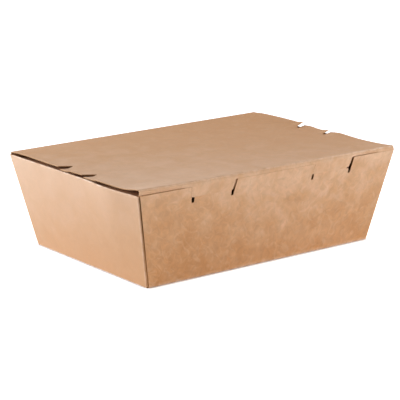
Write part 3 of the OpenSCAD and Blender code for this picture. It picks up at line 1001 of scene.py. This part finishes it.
def kraft_board(name, colours, cut=False):
    """Uncoated brown kraft board, machine made from unbleached pulp. It gives the eye a dull tan with
    soft clouds some 14 mm across, where the fibres lie thicker, finer flecks and pale curls of
    loose fibre. It is paler and patchy where a fold has stretched it and where a highlight is
    painted on the lid's front fold. A painted shading tone makes it lighter or darker where the
    lamps light the box so, with painted shadow in the corner grooves. A cut edge shows the coarse
    brown core in one tone."""
    material = bpy.data.materials.new(name)
    material.use_nodes = True
    tree = material.node_tree
    shader = tree.nodes["Principled BSDF"]
    flat = node(tree, "UVMap", uv_map="flat")
    sheet = node(tree, "VectorMath", operation="SCALE", Vector=flat, Scale=1 / MM)
    mottle, wear, drift = (node(tree, "Attribute", attribute_name=tone).outputs["Fac"]
                           for tone in ("mottle", "wear", "drift"))
    clouds, flecks, grain, curls, patches = (
        node(tree, "TexNoise", noise_dimensions="2D", Vector=sheet, Scale=1 / size, Detail=detail,
             Roughness=rough, Distortion=bent)
        for size, detail, rough, bent in FORMS.values())

    cloud_tone = node(tree, "MapRange", Value=clouds, From_Min=0.2, From_Max=0.8, To_Min=-0.16, To_Max=0.16)
    clouded = node(tree, "Math", operation="MULTIPLY", in0=cloud_tone, in1=mottle)
    # The shading tone moves the board along the ramp, towards pale for painted light and towards dark for
    # painted shade
    painted_shading_tone = node(tree, "Math", operation="MULTIPLY_ADD", in0=drift, in1=0.5, in2=0.5)
    tone = node(tree, "Math", operation="ADD", in0=clouded, in1=painted_shading_tone)
    ramp = node(tree, "ValToRGB", Fac=tone)
    ramp.color_ramp.elements[0].color = colours.dark
    ramp.color_ramp.elements[1].color = colours.pale
    ramp.color_ramp.elements.new(0.5).color = colours.body

    fleck_tone = node(tree, "MapRange", clamp=False, Value=flecks, From_Min=0.2, From_Max=0.8,
                      To_Min=-0.11, To_Max=0.11)
    value = node(tree, "Math", operation="MULTIPLY_ADD", in0=fleck_tone, in1=mottle, in2=1.0)
    # Painted shadow: below -1 the shading tone darkens the board, down to 0.3 at -2, in the corner grooves
    painted_groove_shadow = node(tree, "MapRange", Value=drift, From_Min=-2.0, From_Max=-1.0, To_Min=0.3, To_Max=1.0)
    value = node(tree, "Math", operation="MULTIPLY", in0=value, in1=painted_groove_shadow)
    flecked = node(tree, "HueSaturation", Value=value, Color=ramp)
    curl_tone = node(tree, "MapRange", Value=curls, From_Min=0.52, From_Max=0.75, To_Min=0.0, To_Max=0.2)

    # The folds' stretched fibres and the painted highlight on the lid's front fold both come from the wear
    # tone; patches break them up
    patch = node(tree, "MapRange", Value=patches, From_Min=0.38, From_Max=0.62, To_Min=0.25, To_Max=0.85)
    stretch_and_highlight = node(tree, "Math", operation="MULTIPLY", in0=wear, in1=patch)
    fold_and_highlight = node(tree, "Math", operation="MULTIPLY_ADD", in0=curl_tone, in1=mottle, in2=stretch_and_highlight)
    share, tint = (1.0, colours.cut) if cut else (fold_and_highlight, colours.fold_and_highlight)
    base = node(tree, "Mix", data_type="RGBA", in0=share, in6=flecked, in7=tint)
    tree.links.new(base.outputs[2], shader.inputs["Base Color"])

    dull = node(tree, "MapRange", Value=flecks, From_Min=0.3, From_Max=0.7, To_Min=0.68, To_Max=0.78)
    tree.links.new(dull.outputs[0], shader.inputs["Roughness"])
    shader.inputs["Specular IOR Level"].default_value = 0.25
    shader.inputs["IOR"].default_value = 1.45
    relief = node(tree, "Math", operation="MULTIPLY_ADD", in0=flecks, in1=0.8, in2=grain)
    bump = node(tree, "Bump", Strength=0.25, Distance=0.08 * MM, Height=relief)
    tree.links.new(bump.outputs[0], shader.inputs["Normal"])
    return material


def finishes(scene):
    """The board's face and its cut edge, made once."""
    made = []
    for name, cut in (("kraft_board_uncoated", False), ("kraft_board_cut_edge", True)):
        made.append(bpy.data.materials.get(name) or kraft_board(name, scene.board_colours, cut))
    return made


def dress(obj, materials):
    """Gives a piece the board's materials, face first."""
    obj.data.materials.clear()
    for material in materials:
        obj.data.materials.append(material)


# Pieces


class BOX_OT_tray(bpy.types.Operator):
    """Folds the tray's sheet and lets it stand for the tray's solid"""
    bl_idname = "box.tray"
    bl_label = "Tray"

    def execute(self, context):
        tray = make_tray(context.scene)
        dress(tray, finishes(context.scene))
        settle(tray)
        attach(tray, "tray")
        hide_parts("tray")
        return {"FINISHED"}


class BOX_OT_lid(bpy.types.Operator):
    """Folds the lid's sheet, with its flap, lock tabs and side slits"""
    bl_idname = "box.lid"
    bl_label = "Lid"

    def execute(self, context):
        lid = make_lid(context.scene)
        dress(lid, finishes(context.scene))
        settle(lid)
        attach(lid, "lid")
        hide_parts("lid")
        return {"FINISHED"}


class BOX_OT_crease(bpy.types.Operator):
    """Bends the strip of board that joins the lid to the back wall"""
    bl_idname = "box.crease"
    bl_label = "Crease"

    def execute(self, context):
        crease, start, end = make_crease(context.scene)
        dress(crease, finishes(context.scene)[:1])
        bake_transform(crease)
        return {"FINISHED"}


# Stage


class BOX_OT_stage(bpy.types.Operator):
    """Sets the table, lamps, surroundings and camera"""
    bl_idname = "box.stage"
    bl_label = "Stage"

    def execute(self, context):
        scene = context.scene
        table()
        surroundings(scene)
        for name, (place, size, tint) in LAMPS.items():
            lamp(name, place, size, getattr(scene.stage_settings, name), tint)
        camera(scene)
        scene.view_settings.view_transform = "Standard"
        return {"FINISHED"}


def seen_white(tree):
    """1 for the rays that find a white background: the camera's, and those off metal or through glass."""
    path = node(tree, "LightPath").outputs
    seen = node(tree, "Math", operation="MAXIMUM", in0=path["Is Camera Ray"], in1=path["Is Glossy Ray"])
    return node(tree, "Math", operation="MAXIMUM", in0=seen, in1=path["Is Transmission Ray"])


def table():
    """White table. For the camera it is lifted to the white of the surroundings, and keeps a painted
    contact shadow, from ambient occlusion, where the box stands on it."""
    half, below = 3.0, -0.02 * MM
    mesh = bpy.data.meshes.new("table")
    mesh.from_pydata([(-half, -half, below), (half, -half, below), (half, half, below), (-half, half, below)],
                     [], [(0, 1, 2, 3)])
    new_object("table", mesh)
    material = bpy.data.materials.new("table_white")
    material.use_nodes = True
    tree = material.node_tree
    tree.nodes.remove(tree.nodes["Principled BSDF"])
    seen = seen_white(tree)
    paint = node(tree, "BsdfDiffuse", Color=(0.8, 0.8, 0.8, 1.0))
    # Painted shadow: near the box ambient occlusion takes the lift away, which darkens the table where the
    # box stands
    near = node(tree, "AmbientOcclusion", samples=16, Distance=4 * MM).outputs["AO"]
    contact_shaded_lift = node(tree, "MapRange", Value=near, From_Min=0.45, From_Max=0.8, To_Min=0.05, To_Max=0.9)
    lift = node(tree, "Math", operation="MULTIPLY", in0=seen, in1=contact_shaded_lift)
    glow = node(tree, "Emission", Color=(1.0, 1.0, 1.0, 1.0), Strength=lift)
    total = node(tree, "AddShader", in0=paint, in1=glow)
    tree.links.new(total.outputs[0], tree.nodes["Material Output"].inputs["Surface"])
    mesh.materials.append(material)


def surroundings(scene):
    """White to the eye, and a plain level of light from all round."""
    world = bpy.data.worlds.new("studio")
    scene.world = world
    world.use_nodes = True
    tree = world.node_tree
    strength = node(tree, "MapRange", Value=seen_white(tree), From_Min=0.0, From_Max=1.0,
                    To_Min=scene.stage_settings.ambient, To_Max=1.0)
    background = tree.nodes["Background"]
    background.inputs["Color"].default_value = (1.0, 1.0, 1.0, 1.0)
    tree.links.new(strength.outputs[0], background.inputs["Strength"])


def lamp(name, place, size, power, tint):
    """A square soft lamp that faces the box."""
    data = bpy.data.lights.new(name, "AREA")
    data.shape = "SQUARE"
    data.size = size
    data.energy = power
    data.color = tint
    obj = new_object(name, data)
    obj.location = place
    obj.rotation_euler = (AIM - Vector(place)).to_track_quat("-Z", "Y").to_euler()


def camera(scene):
    """The camera at the photograph's angle, looking at the middle of the box's height."""
    settings = scene.stage_settings
    data = bpy.data.cameras.new("camera")
    data.sensor_width = 36
    data.lens = settings.lens
    data.shift_x, data.shift_y = (shift / PHOTO_PX for shift in SHIFT_PX)
    data.clip_start = 0.05
    data.clip_end = 50
    obj = new_object("camera", data)
    a, e = settings.azimuth, settings.elevation
    back = Vector((math.sin(a) * math.cos(e), -math.cos(a) * math.cos(e), math.sin(e)))
    obj.location = AIM + back * settings.distance
    obj.rotation_euler = (-back).to_track_quat("-Z", "Y").to_euler()
    scene.camera = obj


# Add-on


class BOX_PT_panel(bpy.types.Panel):
    """Lists what can be made and the sizes and colours behind it"""
    bl_idname = "BOX_PT_panel"
    bl_label = "Takeaway box"
    bl_space_type = "VIEW_3D"
    bl_region_type = "UI"
    bl_category = "Box"

    def draw(self, context):
        for operator in OPERATORS:
            self.layout.operator(operator.bl_idname)
        for group in GROUPS:
            column = self.layout.column(align=True)
            holder = getattr(context.scene, GROUPS[group])
            for name in group.__annotations__:
                column.prop(holder, name)


GROUPS = {BoxSizes: "box_sizes", LockSizes: "lock_sizes", LidSizes: "lid_sizes",
          BoardColours: "board_colours", StageSettings: "stage_settings"}
OPERATORS = (BOX_OT_tray, BOX_OT_lid, BOX_OT_crease, BOX_OT_stage)


def register():
    for group, name in GROUPS.items():
        bpy.utils.register_class(group)
        setattr(bpy.types.Scene, name, PointerProperty(type=group))
    for operator in OPERATORS:
        bpy.utils.register_class(operator)
    bpy.utils.register_class(BOX_PT_panel)


def unregister():
    bpy.utils.unregister_class(BOX_PT_panel)
    for operator in reversed(OPERATORS):
        bpy.utils.unregister_class(operator)
    for group, name in reversed(list(GROUPS.items())):
        delattr(bpy.types.Scene, name)
        bpy.utils.unregister_class(group)


def main():
    register()
    bpy.ops.box.tray()
    bpy.ops.box.lid()
    bpy.ops.box.crease()
    bpy.ops.box.stage()


if __name__ == "__main__":
    main()
